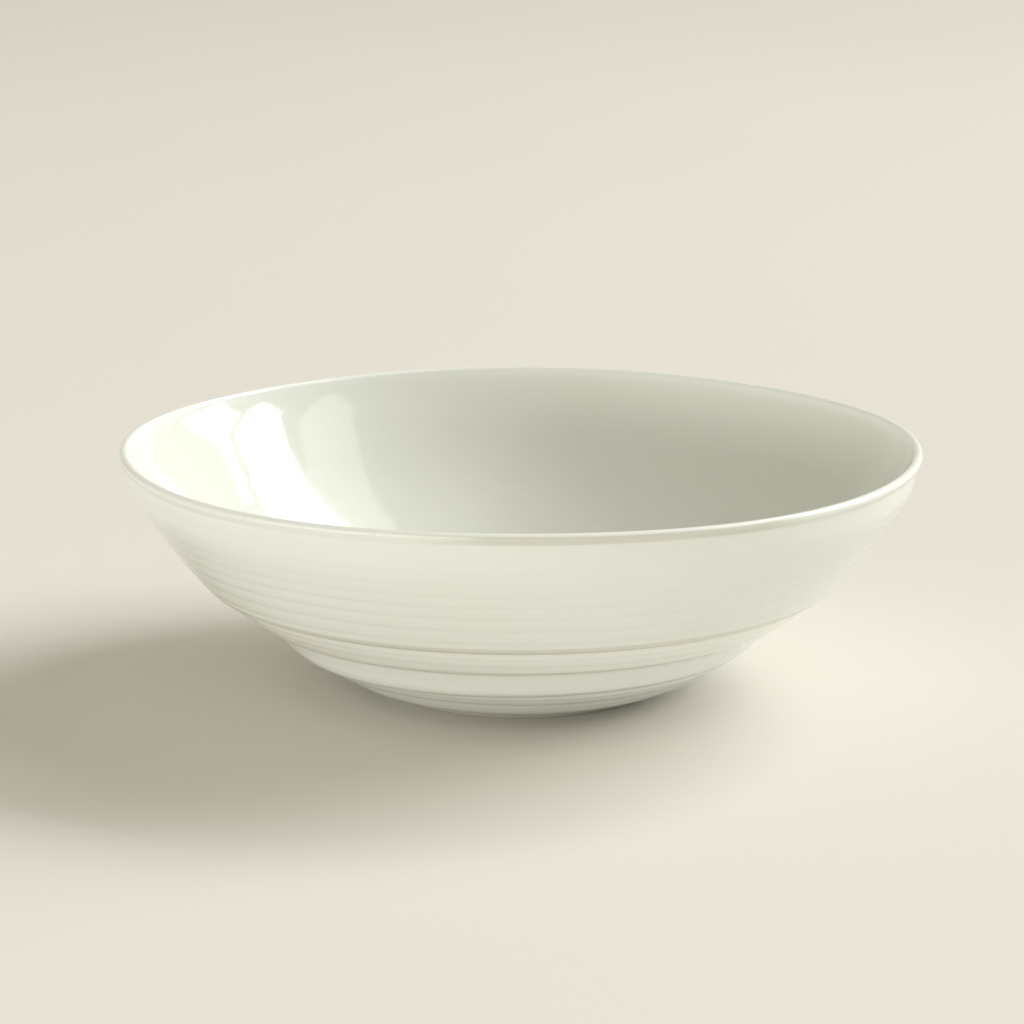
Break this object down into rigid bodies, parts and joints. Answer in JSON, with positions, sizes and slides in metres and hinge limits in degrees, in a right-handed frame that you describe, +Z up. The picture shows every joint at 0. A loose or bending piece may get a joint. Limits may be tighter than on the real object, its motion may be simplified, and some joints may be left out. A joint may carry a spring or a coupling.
{
  "type": "serving bowl",
  "caption": "Wide wheel-thrown porcelain serving bowl: flared ringed wall, thin rounded lip, clear glossy glaze and a low foot ring with a bare contact face.",
  "frame": {"origin": "centre of the foot ring's contact face, on the plane the bowl stands on", "axes": "+Z up along the turning axis, +X to the right and -Y to the front; the bowl is round, so X and Y are any two level directions"},
  "size_m": [0.22, 0.22, 0.068],
  "materials": {
    "biscuit": "bare vitrified porcelain, fine matte",
    "glaze": "clear glossy glaze over white porcelain, faintly green-grey"
  },
  "bodies": {
    "root": {"bowl_wall": "biscuit", "foot_ring": "biscuit", "inner_glaze": "glaze", "outer_glaze": "glaze", "foot_well_glaze": "glaze"}
  },
  "joints": []
}
